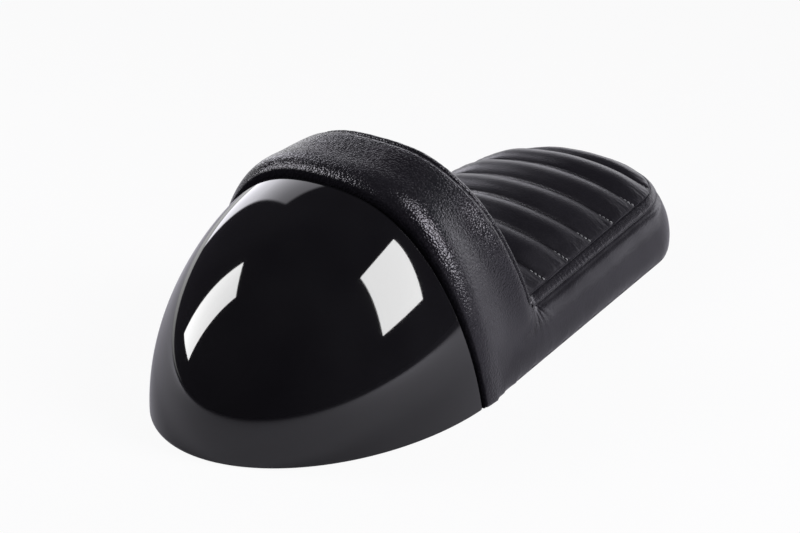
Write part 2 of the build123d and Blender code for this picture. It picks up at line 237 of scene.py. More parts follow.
# Half width of the ribbed panel at x
def panel_half(x):
    taper = (NOSE_WIDTH - SEAT_WIDTH) / 2 / SEAT_LENGTH
    return SEAT_WIDTH / 2 - SEAM_INSET + taper * np.asarray(x, float)


# Level of the pad between its ribs
def pad_level(x, y):
    edge = SEAM_HEIGHT + NOSE_RISE * x / SEAT_LENGTH + PANEL_LIFT
    roll = np.clip(1 - (PANEL_FRONT - x) / NOSE_ROLL, 0, 1)
    crown = np.maximum(-1.0, 1 - (y / panel_half(x)) ** 2 - roll**ROLL_POWER)
    return edge + (PAD_HEIGHT - edge) * crown


VALLEYS = [FIRST_VALLEY - REAR_RIB, *[FIRST_VALLEY + RIB_PITCH * i for i in range(RIB_COUNT)], LAST_VALLEY]


# New material with its nodes, links and shader
def new_material(name):
    material = bpy.data.materials.new(name)
    material.use_nodes = True
    nodes = material.node_tree.nodes
    return material, nodes, material.node_tree.links, nodes["Principled BSDF"]


# New node of a kind, with its settings and the values of its inputs
def add_node(nodes, kind, values=None, **settings):
    node = nodes.new("ShaderNode" + kind)
    for name, setting in settings.items():
        setattr(node, name, setting)
    for socket, value in (values or {}).items():
        node.inputs[socket].default_value = value
    return node


# Smooth change from one value to another over a range
def range_node(nodes, low, high, first=0.0, last=1.0):
    ends = {"From Min": low, "From Max": high, "To Min": first, "To Max": last}
    return add_node(nodes, "MapRange", ends, interpolation_type="SMOOTHSTEP")


def ramp_node(nodes, stops):
    ramp = nodes.new("ShaderNodeValToRGB")
    while len(ramp.color_ramp.elements) < len(stops):
        ramp.color_ramp.elements.new(0.5)
    for element, (place, color) in zip(ramp.color_ramp.elements, stops):
        element.position = place
        element.color = (*color, 1)
    return ramp


# Grained vinyl: pebbles with creases between, painted shade in the creases, a slow tone change, and rubbed
# sheen
def vinyl_material(name, dark, light, cell, depth, roughness, shine, tight_grain=None):
    material, nodes, links, shader = new_material(name)
    place = nodes.new("ShaderNodeTexCoord")
    spot = place.outputs["Object"]
    wobble = add_node(nodes, "TexNoise", {"Scale": 0.35 / cell, "Detail": 2})
    links.new(spot, wobble.inputs["Vector"])
    bend = add_node(nodes, "Mix", {"Factor": 0.0016}, data_type="VECTOR")
    links.new(spot, bend.inputs["A"])
    links.new(wobble.outputs["Color"], bend.inputs["B"])
    pebble = add_node(nodes, "TexVoronoi", feature="SMOOTH_F1")
    pebble.inputs["Scale"].default_value = 1 / cell
    pebble.inputs["Smoothness"].default_value = 0.35
    links.new(bend.outputs["Result"], pebble.inputs["Vector"])
    fine = add_node(nodes, "TexNoise", {"Scale": 2.6 / cell, "Detail": 3})
    links.new(spot, fine.inputs["Vector"])
    hollow = add_node(nodes, "Math", {1: -1.0}, operation="MULTIPLY")
    links.new(pebble.outputs["Distance"], hollow.inputs[0])
    height = add_node(nodes, "Math", {1: 0.16}, operation="MULTIPLY_ADD")
    links.new(fine.outputs["Fac"], height.inputs[0])
    links.new(hollow.outputs["Value"], height.inputs[2])
    bump = add_node(nodes, "Bump", {"Strength": 0.9, "Distance": depth})
    links.new(height.outputs["Value"], bump.inputs["Height"])
    links.new(bump.outputs["Normal"], shader.inputs["Normal"])

    # Slow change of tone and gloss, with painted shade darkening the creases between pebbles
    slow = add_node(nodes, "TexNoise", {"Scale": 14, "Detail": 4})
    links.new(spot, slow.inputs["Vector"])
    tone = ramp_node(nodes, [(0.3, dark), (0.72, light)])
    links.new(slow.outputs["Fac"], tone.inputs["Fac"])
    shade = ramp_node(nodes, [(0.25, (1, 1, 1)), (0.62, (0.42, 0.42, 0.44))])
    links.new(pebble.outputs["Distance"], shade.inputs["Fac"])
    # Painted shade: the base colour is multiplied darker where the pebbles meet
    crease_shade = add_node(nodes, "Mix", {"Factor": 0.55}, data_type="RGBA", blend_type="MULTIPLY")
    links.new(tone.outputs["Color"], crease_shade.inputs["A"])
    links.new(shade.outputs["Color"], crease_shade.inputs["B"])
    links.new(crease_shade.outputs["Result"], shader.inputs["Base Color"])
    gloss = ramp_node(nodes, [(0.3, (roughness - 0.05,) * 3), (0.75, (roughness + 0.08,) * 3)])
    links.new(slow.outputs["Fac"], gloss.inputs["Fac"])
    links.new(gloss.outputs["Color"], shader.inputs["Roughness"])
    shader.inputs["Specular IOR Level"].default_value = shine
    shader.inputs["Specular Tint"].default_value = (0.93, 0.9, 1.0, 1)
    if tight_grain:
        stretch_grain(nodes, links, spot, bump, shader, tight_grain, shine)
    return material


# Full grain over the bum stop and beside the joint, pulled nearly smooth on the flanks, and painted shade
# on the lip's edge in the joint, where the shine is taken off
def stretch_grain(nodes, links, spot, bump, shader, tight_grain, shine):
    upward = add_node(nodes, "VectorMath", {1: (0, 0, 1)}, operation="DOT_PRODUCT")
    forward = add_node(nodes, "VectorMath", {1: (1, 0, JOINT_LEAN)}, operation="DOT_PRODUCT")
    by_height = range_node(nodes, 0.035, 0.066, tight_grain, 0.9)
    by_joint = range_node(nodes, JOINT_X * MM + 0.014, JOINT_X * MM + 0.036, 0.9, tight_grain)
    most = add_node(nodes, "Math", operation="MAXIMUM")
    # Painted shade: the vinyl's shine fades to nothing towards the joint, so the lip's edge in the gap
    # reads black
    shade_band_start = JOINT_X + LIP_GAP
    edge = range_node(nodes, (shade_band_start + 2.0) * MM, (shade_band_start + 3.6) * MM, 0.0, shine)
    links.new(spot, upward.inputs[0])
    links.new(spot, forward.inputs[0])
    links.new(upward.outputs["Value"], by_height.inputs["Value"])
    links.new(forward.outputs["Value"], by_joint.inputs["Value"])
    links.new(by_height.outputs["Result"], most.inputs[0])
    links.new(by_joint.outputs["Result"], most.inputs[1])
    links.new(most.outputs["Value"], bump.inputs["Strength"])
    links.new(forward.outputs["Value"], edge.inputs["Value"])
    links.new(edge.outputs["Result"], shader.inputs["Specular IOR Level"])


# Polished black moulding with a trace of surface waviness
def gloss_material():
    material, nodes, links, shader = new_material("gloss_black")
    place = nodes.new("ShaderNodeTexCoord")
    wave = add_node(nodes, "TexNoise", {"Scale": 22, "Detail": 1})
    links.new(place.outputs["Object"], wave.inputs["Vector"])
    bump = add_node(nodes, "Bump", {"Strength": 0.12, "Distance": 0.0006})
    links.new(wave.outputs["Fac"], bump.inputs["Height"])
    links.new(bump.outputs["Normal"], shader.inputs["Normal"])
    tone = ramp_node(nodes, [(0.3, (0.0035, 0.0033, 0.0042)), (0.7, (0.0052, 0.005, 0.006))])
    links.new(wave.outputs["Fac"], tone.inputs["Fac"])
    links.new(tone.outputs["Color"], shader.inputs["Base Color"])
    shader.inputs["Roughness"].default_value = 0.045
    shader.inputs["Coat Weight"].default_value = 0.25
    shader.inputs["Coat Roughness"].default_value = 0.02
    return material


# Plain moulded, metal and rubber finishes with a fine mottle
def plain_material(name, dark, light, roughness, metallic=0.0, scale=300.0, depth=0.0002):
    material, nodes, links, shader = new_material(name)
    place = nodes.new("ShaderNodeTexCoord")
    mottle = add_node(nodes, "TexNoise", {"Scale": scale, "Detail": 5})
    links.new(place.outputs["Object"], mottle.inputs["Vector"])
    tone = ramp_node(nodes, [(0.35, dark), (0.7, light)])
    links.new(mottle.outputs["Fac"], tone.inputs["Fac"])
    links.new(tone.outputs["Color"], shader.inputs["Base Color"])
    rough = ramp_node(nodes, [(0.35, (roughness - 0.06,) * 3), (0.7, (roughness + 0.08,) * 3)])
    links.new(mottle.outputs["Fac"], rough.inputs["Fac"])
    links.new(rough.outputs["Color"], shader.inputs["Roughness"])
    bump = add_node(nodes, "Bump", {"Strength": 0.3, "Distance": depth})
    links.new(mottle.outputs["Fac"], bump.inputs["Height"])
    links.new(bump.outputs["Normal"], shader.inputs["Normal"])
    shader.inputs["Metallic"].default_value = metallic
    return material


cover_vinyl = vinyl_material("cover_vinyl", (0.0065, 0.006, 0.008), (0.011, 0.0103, 0.013),
                             cell=0.0016, depth=0.00042, roughness=0.2, shine=0.38, tight_grain=0.2)
panel_vinyl = vinyl_material("panel_vinyl", (0.006, 0.0056, 0.0074), (0.01, 0.0094, 0.012),
                             cell=0.0013, depth=0.00012, roughness=0.31, shine=0.5)
gloss_black = gloss_material()
# Lighter copy of the black thread, with painted highlights, for the seam ends
thread_painted_glint = plain_material("thread_painted_glint", (0.1, 0.1, 0.11), (0.24, 0.24, 0.25), 0.28, scale=900)
thread_dark = plain_material("thread_dark", (0.012, 0.012, 0.014), (0.03, 0.03, 0.033), 0.4, scale=900)
pan_black = plain_material("pan_plastic", (0.012, 0.012, 0.013), (0.022, 0.022, 0.023), 0.55)
zinc = plain_material("zinc_steel", (0.5, 0.5, 0.48), (0.68, 0.68, 0.66), 0.34, metallic=1.0, scale=500,
                      depth=0.0001)
brass = plain_material("brass", (0.6, 0.42, 0.16), (0.74, 0.55, 0.25), 0.32, metallic=1.0, scale=500,
                       depth=0.0001)
rubber = plain_material("rubber", (0.012, 0.012, 0.012), (0.024, 0.024, 0.024), 0.72)


# Reach to the rear and half width of the dome at a share of its height
def dome_section(share, length, half):
    reach = length * (1 - share**SPINE_RISE) ** (1 / SPINE_ROUND)
    return reach, half * (1 - share**ARCH_RISE) ** (1 / ARCH_ROUND)


# Gloss cowl: directions fan out from the joint's foot, and each is followed to the dome's surface
def dome_distance(directions, shrink):
    low = np.zeros(len(directions))
    high = np.full(len(directions), 2.0 * COWL_WIDTH)
    for _ in range(60):
        middle = (low + high) / 2
        points = directions * middle[:, None]
        share = points[:, 2] / (COWL_HEIGHT - shrink)
        level = np.clip(share, 0, 0.99999)
        reach, half = dome_section(level, COWL_LENGTH - COWL_BACK - shrink, COWL_WIDTH / 2 - shrink)
        outside = ((points[:, 0] / reach) ** 2 + (points[:, 1] / half) ** 2 > 1) | (share >= 1)
        high = np.where(outside, middle, high)
        low = np.where(outside, low, middle)
    return (low + high) / 2


def dome_rows(shrink, leans, sides):
    rows = []
    for lean in leans:
        upward = np.cos(sides)
        directions = np.column_stack([-upward * math.sin(lean), np.sin(sides), upward * math.cos(lean)])
        rows.append(directions * dome_distance(directions, shrink)[:, None])
    return rows


def build_cowl():
    sides = np.radians(np.linspace(-89.7, 89.7, 244))
    joint_angle = math.atan(JOINT_LEAN)
    leans = joint_angle + (math.pi / 2 - joint_angle) * np.linspace(0, 1, 150)
    forward = np.array([math.cos(joint_angle), 0, math.sin(joint_angle)])
    down = np.array([0, 0, -1.0])

    # Rows raised near the bottom, to leave room for the rounded edge
    def raised(rows):
        return [r + [0, 0, COWL_EDGE] * np.clip(1 - r[:, 2:] / 12, 0, 1) for r in rows]

    # Rounded edge from one row to another
    def round_over(first, last, way):
        across = last - first
        made = []
        for turn in np.linspace(0, math.pi, 9)[1:-1]:
            made.append(first + across * (1 - math.cos(turn)) / 2 + way * COWL_EDGE * math.sin(turn))
        return made

    # Outside, rounded bottom edge, inside and rounded front edge
    outer = raised(dome_rows(0.0, leans, sides))
    inner = raised(dome_rows(COWL_WALL, leans[::5], sides))
    loop = outer + round_over(outer[-1], inner[-1], down)
    loop += inner[::-1] + round_over(inner[0], outer[0], forward)
    points = np.vstack(loop) - [COWL_BACK, 0, 0]
    columns = len(sides)
    faces = grid_faces(len(loop), columns, close_rows=True)
    faces += end_faces(len(loop), columns)
    return make_piece("cowl_skin", points, faces, gloss_black)


cowl = build_cowl()
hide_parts("cowl_shell")


# Screw bosses inside the cowl, each with the bore that takes its insert
def build_bosses():
    reach, half = dome_section(PAN_TOP / COWL_HEIGHT, COWL_LENGTH, COWL_WIDTH / 2)
    reach -= COWL_WALL + BOSS_WALL
    half -= COWL_WALL + BOSS_WALL
    heights = np.linspace(PAN_TOP, PAN_TOP + BOSS_HEIGHT, 120)
    level = np.clip(heights / (COWL_HEIGHT - COWL_WALL / 2), 0, 0.9999)
    wall_reach, wall_half = dome_section(level, COWL_LENGTH - COWL_WALL / 2, (COWL_WIDTH - COWL_WALL) / 2)
    points, faces = [], []
    turns = np.linspace(0, 2 * math.pi, 32, endpoint=False)
    ring = np.column_stack([np.cos(turns), np.sin(turns), np.zeros(32)])
    for turn in BOSS_TURNS:
        angle = math.radians(turn)
        center = np.array([-reach * math.sin(angle), half * math.cos(angle), 0])
        outer = center + ring * BOSS_RADIUS
        tops = []
        for x, y, _ in outer:
            inside = (x / wall_reach) ** 2 + (y / wall_half) ** 2 < 1
            tops.append(heights[inside].max() if inside.any() else PAN_TOP + 1)
        rows = [np.column_stack([outer[:, :2], tops])]
        rows.append(outer + [0, 0, PAN_TOP + 0.5])
        rows.append(center + ring * (BOSS_RADIUS - 0.5) + [0, 0, PAN_TOP])
        rows.append(center + ring * BORE_RADIUS + [0, 0, PAN_TOP])
        rows.append(center + ring * BORE_RADIUS + [0, 0, PAN_TOP + BORE_DEPTH])
        start = len(points)
        points.extend(np.vstack(rows).tolist())
        faces.extend(grid_faces(len(rows), 32, close_columns=True, start=start))
        faces.append([start + 4 * 32 + i for i in range(32)])
    piece = make_piece("cowl_boss_cores", points, faces, pan_black)


build_bosses()


# Closed form of walls and bum stop together, as one voxel skin
def wall_stack():
    rings = []
    for inset, level in WALL:
        rear_x = float(lip_gap(level)) - JOINT_LEAN * level
        steps = WALL_LIP * np.array([0, 0.05, 0.15, 0.3, 0.5, 0.75])
        end_half = seat_half(rear_x + steps, inset) - edge_draw(steps, WALL_LIP)
        ends = np.column_stack([rear_x + steps, end_half])
        ring = np.vstack([ends * [1, -1], seat_path(inset, rear_x + WALL_LIP), ends[::-1]])
        slope = NOSE_RISE * level / SEAM_HEIGHT / SEAT_LENGTH
        rings.append(np.column_stack([ring, level + slope * ring[:, 0]]))
    columns = len(rings[0])
    faces = grid_faces(len(rings), columns, close_columns=True)
    faces.append(list(range(columns))[::-1])
    faces.append([(len(rings) - 1) * columns + i for i in range(columns)])
    return np.vstack(rings), faces


def hump_stack():
    turns = np.linspace(0, math.pi, 121)
    rows = []
    for distance in hump_distances():
        ridge = edge_draw((HUMP_DEPTH - distance) / RIDGE_STRETCH, RIDGE_ROUND)
        saddle = SADDLE_DIP * math.exp(-((distance - SADDLE_PLACE) / 17) ** 2)
        roll = RIDGE_SWELL * math.exp(-((HUMP_DEPTH - distance - 17) / 9) ** 2)
        padded = ridge + lip_draw(distance - LIP_GAP, 1.0, LIP_SWELL, TOP_REACH)
        plain = ridge + lip_draw(distance - LIP_GAP, 0.35, FOOT_SWELL, FOOT_REACH)
        low, side, high = [hump_arch(distance / HUMP_DEPTH, draw, turns) for draw in
                           (plain, padded + saddle - roll, padded + 0.3 * (saddle - roll))]
        row = low + (side - low) * smoothstep(12, 75, low[:, 2:])
        row += (high - row) * smoothstep(125, 158, low[:, 2:])
        row[:, 0] -= (LIP_GAP - lip_gap(row[:, 2])) * smoothstep(18, 0, distance - LIP_GAP)
        rows.append(row)
    columns = len(turns)
    faces = grid_faces(len(rows), columns, flip=True)
    faces.append(list(range(columns)))
    faces.append([(len(rows) - 1) * columns + i for i in range(columns)][::-1])
    faces += end_faces(len(rows), columns)
    for i in range(len(rows) - 1):
        first, second = i * columns, (i + 1) * columns
        faces.append((first, first + columns - 1, second + columns - 1, second))
    return np.vstack(rows), faces


def apply_modifiers(piece):
    bpy.context.view_layer.update()
    graph = bpy.context.evaluated_depsgraph_get()
    mesh = bpy.data.meshes.new_from_object(piece.evaluated_get(graph))
    old = piece.data
    piece.modifiers.clear()
    piece.data = mesh
    bpy.data.meshes.remove(old)


# Places or normals of a mesh's vertices
def vertex_array(mesh, kind="co"):
    flat = np.empty(len(mesh.vertices) * 3, np.float32)
    mesh.vertices.foreach_get(kind, flat)
    return flat.reshape(-1, 3).astype(float)


def set_vertices(mesh, points):
    mesh.vertices.foreach_set("co", np.asarray(points, np.float32).ravel())
    mesh.update()


# Same points in millimetres from the joint's foot
def local_mm(points):
    return points / MM - [JOINT_X, 0, 0]


# Distance in front of a leaning plane through a foot point
def ahead_of(points, foot, lean):
    return (points[:, 0] - foot + lean * points[:, 2]) / math.hypot(1, lean)


def relax(piece, factor, repeat):
    smooth = piece.modifiers.new("relax", "SMOOTH")
    smooth.factor = factor
    smooth.iterations = repeat


# Inset of a point from the seat's widest line
def inset_of(points):
    path = seat_path(0.0, -20.0, 200, 120)
    tree = kdtree.KDTree(len(path))
    for i, p in enumerate(path):
        tree.insert((p[0], p[1], 0), i)
    tree.balance()
    return np.array([tree.find((p[0], p[1], 0))[2] for p in points])


def build_cover():
    wall_points, wall_faces = wall_stack()
    hump_points, hump_faces = hump_stack()
    faces = list(wall_faces) + [tuple(i + len(wall_points) for i in f) for f in hump_faces]
    piece = make_piece("seat_cover", np.vstack([wall_points, hump_points]), faces, cover_vinyl)
    remesh = piece.modifiers.new("remesh", "REMESH")
    remesh.mode = "VOXEL"
    remesh.voxel_size = COVER_VOXEL * MM
    remesh.use_smooth_shade = True
    apply_modifiers(piece)
    return piece


cover = build_cover()


# Which points lie inside an arch outline
def inside_arch(points, half, height, rounding, rise):
    level = np.clip(points[:, 2] / height, 0, 2)
    return (np.abs(points[:, 1]) / half) ** rounding + level**rise < 1


# Faces that other pieces hide are taken off the cover, so that it is a skin
def open_cover(piece):
    work = bmesh.new()
    work.from_mesh(piece.data)
    centers = local_mm(np.array([f.calc_center_median() for f in work.faces]))
    normals = np.array([f.normal for f in work.faces])
    inset = inset_of(centers)
    ahead = ahead_of(centers, FRONT_FOOT, FRONT_LEAN)
    behind = ahead_of(centers, 0.0, JOINT_LEAN)
    under_panel = (ahead > 1.0) & (inset > SEAM_INSET + 3) & (centers[:, 2] > SEAM_HEIGHT - 4)
    wrap = 13.0
    lip_half = COWL_WIDTH / 2 + LIP_STEP - wrap
    in_joint = (behind < LIP_GAP + 1.5) & (normals[:, 0] < -0.5)
    in_joint &= inside_arch(centers, lip_half, LIP_HEIGHT - wrap, ARCH_ROUND, ARCH_RISE)
    margin = STOP_MARGIN + 4
    front_half = FRONT_WIDTH / 2 - margin
    under_stop = (ahead > -3) & (ahead < 12) & (normals[:, 0] > 0.5) & (centers[:, 2] > SEAM_HEIGHT - 8)
    under_stop &= inside_arch(centers, front_half, CREST_HEIGHT - margin, FRONT_ROUND, FRONT_RISE)
    hide = under_panel | in_joint | under_stop
    work.faces.ensure_lookup_table()
    bmesh.ops.delete(work, geom=[work.faces[i] for i in np.nonzero(hide)[0]], context="FACES")
    work.to_mesh(piece.data)
    work.free()


open_cover(cover)
relax(cover, 0.5, 10)
divide = cover.modifiers.new("divide", "SUBSURF")
divide.levels = 1
divide.render_levels = 1
apply_modifiers(cover)


# Soft dents of the flanks and the bum stop, and pulls at the corners
def soften_cover(piece):
    points = vertex_array(piece.data)
    normals = vertex_array(piece.data, "normal")
    p = local_mm(points)
    slow = noise_at(points, 16.0, 3.1)
    broad = noise_at(points, 34.0, 8.7)
    side = smoothstep(60, 40, p[:, 2]) * smoothstep(2, 12, p[:, 2])
    top = smoothstep(55, 85, p[:, 2])
    move = side * (0.75 * slow + 0.22 * broad) + top * (0.6 * slow + 0.15 * broad)
    corner_x = FRONT_FOOT - FRONT_LEAN * SEAM_HEIGHT
    for way in (-1, 1):
        away = p - [corner_x - 6, way * (FRONT_WIDTH / 2 - 2), SEAM_HEIGHT]
        reach = np.linalg.norm(away, axis=1)
        turn = np.arctan2(away[:, 2], -away[:, 0])
        fold = np.sin(turn * 15 + 2.5 * slow) * np.exp(-reach / 10) * smoothstep(3, 9, reach)
        move += 0.35 * fold
    points += normals * (move * MM)[:, None]
    set_vertices(piece.data, points)
    polygons = [tuple(f.vertices) for f in piece.data.polygons]
    return bvhtree.BVHTree.FromPolygons(local_mm(points).tolist(), polygons)


# Cover sunk below its hems, with a sewn groove beside each, and cut level at the bottom
def groove_cover(piece):
    points = vertex_array(piece.data)
    normals = vertex_array(piece.data, "normal")
    p = local_mm(points)
    before = -ahead_of(p, FRONT_FOOT, FRONT_LEAN)
    over = smoothstep(SEAM_HEIGHT - 2, SEAM_HEIGHT + 6, p[:, 2])
    move = -0.9 * over * np.exp(-((before - RIDGE_REAR - 0.6) / 1.3) ** 2)
    move -= 1.1 * over * smoothstep(RIDGE_REAR + 0.4, RIDGE_REAR - 1.2, before) * smoothstep(0, 3, before)
    near = np.nonzero((p[:, 2] > 28) & (p[:, 2] < 70) & (p[:, 0] > FRONT_FOOT - 28))[0]
    inset = inset_of(p[near])
    along = smoothstep(FRONT_FOOT - 26, FRONT_FOOT - 20, p[near, 0]) * smoothstep(28, 33, p[near, 2])
    move[near] -= along * 0.9 * np.exp(-((inset - HEM_OUTER + 0.6) / 1.3) ** 2)
    below_hem = smoothstep(HEM_OUTER - 0.4, HEM_OUTER + 1.2, inset) * smoothstep(0.1, 0.5, normals[near, 2])
    move[near] -= along * 1.3 * below_hem
    points += normals * (move * MM)[:, None]
    set_vertices(piece.data, points)
    work = bmesh.new()
    work.from_mesh(piece.data)
    everything = list(work.verts) + list(work.edges) + list(work.faces)
    bmesh.ops.bisect_plane(work, geom=everything, plane_co=(0, 0, COVER_CUT * MM), plane_no=(0, 0, 1),
                           clear_inner=True)
    for face in work.faces:
        face.smooth = True
    work.to_mesh(piece.data)
    work.free()


cover_surface = soften_cover(cover)
groove_cover(cover)
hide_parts("side_band", "seat_foam")


# Turned-under hem along the bottom edge
def build_hem():
    section = [(2.4, 3.4), (1.5, 1.5), (1.7, 0.7), (2.6, 0.2), (4.0, 0.1), (8.0, 0.1),
               (13.0, 0.2), (14.0, 0.8), (14.1, 1.7), (13.4, 2.4), (8.0, 2.5), (3.4, 2.8)]
    rows = []
    for inset, level in section:
        path = seat_path(inset, FOOT_GAP + 1.0 - JOINT_LEAN * level, 160, 70)
        ripple = np.array([noise.noise(Vector((q[0] * 0.09, q[1] * 0.09, 4.4))) for q in path])
        lift = np.where(inset > 5, np.abs(ripple) * 0.35, 0)
        rows.append(np.column_stack([path, level + lift]))
    columns = len(rows[0])
    faces = grid_faces(len(rows), columns, close_rows=True)
    faces += end_faces(len(rows), columns)
    piece = make_piece("turned_hem", np.vstack(rows), faces, cover_vinyl)


build_hem()


# Strip laid on the cover along rows of points, each row raised by its height
def lay_strip(name, rows, heights, material):
    laid, under = [], []
    for row, height in zip(rows, heights):
        found = [cover_surface.find_nearest(Vector(q)) for q in row]
        places = np.array([f[0] for f in found])
        ways = np.array([f[1] for f in found])
        laid.append(places + ways * np.asarray(height)[:, None])
        under.append(places - ways * HEM_THICK)
    loop = laid + [under[-1], under[0]]
    columns = len(laid[0])
    faces = grid_faces(len(loop), columns, close_rows=True, flip=True)
    faces += end_faces(len(loop), columns, flip=True)
    piece = make_piece(name, np.vstack(loop), faces, material)
    return piece, laid


# Places along a row of points at an even pitch, each with its direction and the way up
def places_along(row, ways, pitch):
    steps = lengths_along(row)
    places = []
    for s in np.arange(pitch / 2, steps[-1] - pitch / 2, pitch):
        ends = [np.array([np.interp(t, steps, row[:, k]) for k in range(3)]) for t in (s - 0.8, s, s + 0.8)]
        i = min(int(np.searchsorted(steps, s)), len(row) - 1)
        places.append((ends[1], ends[2] - ends[0], ways[i]))
    return places


def strip_crown(share):
    return 1.35 * (1 - abs(2 * share - 1) ** 5) - 0.75 - 1.1 * max(0.0, 1 - share / 0.18)


# Folded hem along the seam, raised between two sewn lines, with small puckers
def build_seam_hem():
    rear_x = FRONT_FOOT - FRONT_LEAN * SEAM_HEIGHT - 13.0
    rows, heights = [], []
    for share in np.concatenate([np.linspace(0, 0.24, 6), np.linspace(0.32, 1, 10)]):
        inset = HEM_INNER + (HEM_OUTER - HEM_INNER) * share
        path = seat_path(inset, rear_x, 480, 220)
        steps = lengths_along(path)
        pucker = np.array([noise.noise(Vector((s * 0.33, 1.7 * share, 6.1))) for s in steps])
        rows.append(np.column_stack([path, wall_level(inset, path[:, 0])]))
        heights.append(strip_crown(share) + 0.16 * pucker * (0.3 + share))
    piece, laid = lay_strip("seam_hem", rows, heights, cover_vinyl)
    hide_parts("seam_welt")
    line = laid[14]
    return places_along(line, np.tile([0, 0, 1.0], (len(line), 1)), STITCH_PITCH)


# Hem over the bum stop's ridge, turned up from the corners of the seam
def build_ridge_hem():
    low = math.asin(((SEAM_HEIGHT - 8) / CREST_HEIGHT) ** (FRONT_RISE / 2))
    count = 420
    turns = np.linspace(math.pi - low, low, count)
    from_end = np.minimum(np.arange(count), np.arange(count)[::-1])
    sunk = 1 - smoothstep(0, 14, from_end)
    depth = RIDGE_STRETCH * (CREST_X + 20)
    rows, heights = [], []
    for share in np.linspace(0, 1, 13):
        before = RIDGE_FORE + (RIDGE_REAR - RIDGE_FORE) * share
        rows.append(hump_arch(1 - before / depth, edge_draw(before, RIDGE_ROUND), turns))
        pucker = np.array([noise.noise(Vector((t * 40, 1.7 * share, 3.6))) for t in turns])
        heights.append(strip_crown(share) + 0.2 * pucker - 2.2 * sunk)
    laid = lay_strip("ridge_hem", rows, heights, cover_vinyl)[1]
    places = []
    for i in (1, 11):
        out = laid[i] * [0, 1, 1] - [0, 0, 30]
        places += places_along(laid[i], out / np.linalg.norm(out, axis=1)[:, None], STITCH_PITCH)
    return places


hem_places = build_seam_hem() + build_ridge_hem()


# Ribbed panel: round tubes between sewn valleys, drawn down to the seam all round
def rib_level(x, y, distance):
    level = pad_level(x, y)
    share = np.clip(np.abs(y) / panel_half(x), 0, 1)
    swell = np.zeros_like(x)
    valley = np.zeros_like(x)
    for start, end in zip(VALLEYS, VALLEYS[1:]):
        across = np.clip(2 * (x - start) / (end - start) - 1, -1, 1)
        inside = (x >= start) & (x < end)
        tube = 0.6 * np.sqrt(1 - across**2) + 0.4 * (1 - across**2)
        swell = np.where(inside, tube, swell)
    for place in VALLEYS[1:-1]:
        valley += np.exp(-((x - place) / 1.1) ** 2)
    near = np.clip(distance / RIB_EDGE, 0, 1)
    edge = 0.5 * np.sqrt(1 - (1 - near) ** 2) + 0.5 * smoothstep(0, 30, distance)
    full = RIB_SWELL * (1 - 0.35 * share**4)
    level = level + swell * full * (0.12 + 0.88 * edge) - 0.9 * valley * smoothstep(0, 6, distance)
    return level - 1.3 * np.exp(-distance / 2.0)


def build_panel():
    rear_x = FRONT_FOOT - FRONT_LEAN * (PAD_HEIGHT + 8) - 5.0
    xs = np.unique(np.concatenate([np.linspace(rear_x, PANEL_FRONT - 1.0, 300),
                                   PANEL_FRONT - np.array([0.0, 0.25, 0.6])]))
    sides = np.sin(np.linspace(-math.pi / 2, math.pi / 2, 171) * 0.86) / math.sin(math.pi / 2 * 0.86)
    grid_x, grid_s = np.meshgrid(xs, sides, indexing="ij")
    half = seat_half(grid_x, SEAM_INSET + 0.2)
    grid_y = grid_s * half
    flat = np.column_stack([grid_x.ravel(), grid_y.ravel(), np.zeros(grid_x.size)])
    distance = np.maximum(inset_of(flat) - SEAM_INSET - 0.2, 0)
    level = rib_level(flat[:, 0], flat[:, 1], distance)
    wrinkle = noise_at(flat * [0.16, 0.05, 0], 1.0, 5.3)
    ripple = noise_at(flat * [0.42, 0.16, 0], 1.0, 2.9)
    near = np.exp(-distance / 9)
    level += near * (0.9 * wrinkle + 0.5 * ripple) * smoothstep(0, 3, distance)
    level += 0.35 * noise_at(flat * 0.03, 1.0, 1.2)
    flat[:, 2] = level
    rows, columns = len(xs), len(sides)
    faces = grid_faces(rows, columns)
    rim = [(i, 0) for i in range(rows)]
    rim += [(rows - 1, j) for j in range(1, columns)]
    rim += [(i, columns - 1) for i in range(rows - 2, -1, -1)]
    rim += [(0, j) for j in range(columns - 2, 0, -1)]
    rim = [i * columns + j for i, j in rim]
    skirt = flat[rim] - [0, 0, 4.0]
    start = len(flat)
    for i in range(len(rim)):
        j = (i + 1) % len(rim)
        faces.append((rim[i], start + i, start + j, rim[j]))
    faces.append([start + i for i in range(len(rim))])
    piece = make_piece("ribbed_pad", np.vstack([flat, skirt]), faces, panel_vinyl)
    for polygon in piece.data.polygons:
        polygon.use_smooth = max(polygon.vertices) < start
    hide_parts("ribbed_panel")


build_panel()


# Stitches: short twisted threads laid in a row of places, each with a direction and an up
def build_stitches(name, places, length, radius, material):
    points, faces = [], []
    around, along = 8, 9
    for center, way, up in places:
        way = way / np.linalg.norm(way)
        side = np.cross(way, up)
        side /= np.linalg.norm(side)
        lift = np.cross(side, way)
        rows = []
        for share in np.linspace(-1, 1, along):
            thick = radius * math.sqrt(max(1 - abs(share) ** 3, 0.04))
            sink = -0.9 * radius * share**4
            turn = share * 5.0
            ring = np.linspace(0, 2 * math.pi, around, endpoint=False)
            lobe = thick * (1 + 0.2 * np.cos(2 * (ring + turn)))
            rows.append(center + way * length / 2 * share + lift * sink
                        + np.outer(lobe * np.cos(ring), side) + np.outer(lobe * np.sin(ring), lift))
        start = len(points)
        points.extend(np.vstack(rows).tolist())
        faces.extend(grid_faces(along, around, close_columns=True, start=start))
        faces.append([start + i for i in range(around)][::-1])
        faces.append([start + (along - 1) * around + i for i in range(around)])
    piece = make_piece(name, points, faces, material)


# Place, direction and way up of a stitch in a valley
def valley_place(valley, y, lift):
    step = 0.5
    spots = np.array([[valley, y, 0], [valley, y - step, 0], [valley, y + step, 0]])
    distance = np.maximum(inset_of(spots) - SEAM_INSET, 0)
    level = rib_level(spots[:, 0], spots[:, 1], distance)
    way = np.array([0.7 * step, 2 * step, level[2] - level[1]])
    return np.array([valley, y, level[0] + lift]), way, np.array([0, 0, 1.0])
